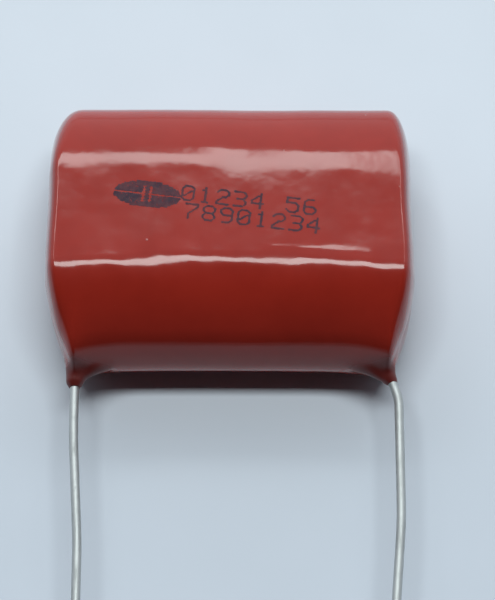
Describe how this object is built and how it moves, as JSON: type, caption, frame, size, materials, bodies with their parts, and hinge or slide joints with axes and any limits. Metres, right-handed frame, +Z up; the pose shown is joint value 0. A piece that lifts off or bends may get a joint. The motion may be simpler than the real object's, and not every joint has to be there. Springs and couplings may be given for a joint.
{
  "type": "dipped film capacitor",
  "caption": "Flattened wound film capacitor dipped in glossy red epoxy, with radial tinned wire leads, lying on its flat side.",
  "frame": {"origin": "on the lower flat face that it rests on, midway between the leads' roots and under the middle of the wound roll", "axes": "+X along the roll's axis, from the left lead to the right lead; the leads leave towards -Y, so +Y points away from them; +Z up, through the body's thickness"},
  "size_m": [0.0322, 0.0548, 0.013],
  "materials": {
    "epoxy": "gloss",
    "film": "satin",
    "wrap": "gloss",
    "end_metal": "matte",
    "tinned_wire": "gloss"
  },
  "bodies": {
    "root": {"epoxy_coat": "epoxy", "film_roll": "film", "outer_wrap": "wrap", "left_end_metal": "end_metal", "right_end_metal": "end_metal", "left_lead": "tinned_wire", "right_lead": "tinned_wire"}
  },
  "joints": []
}
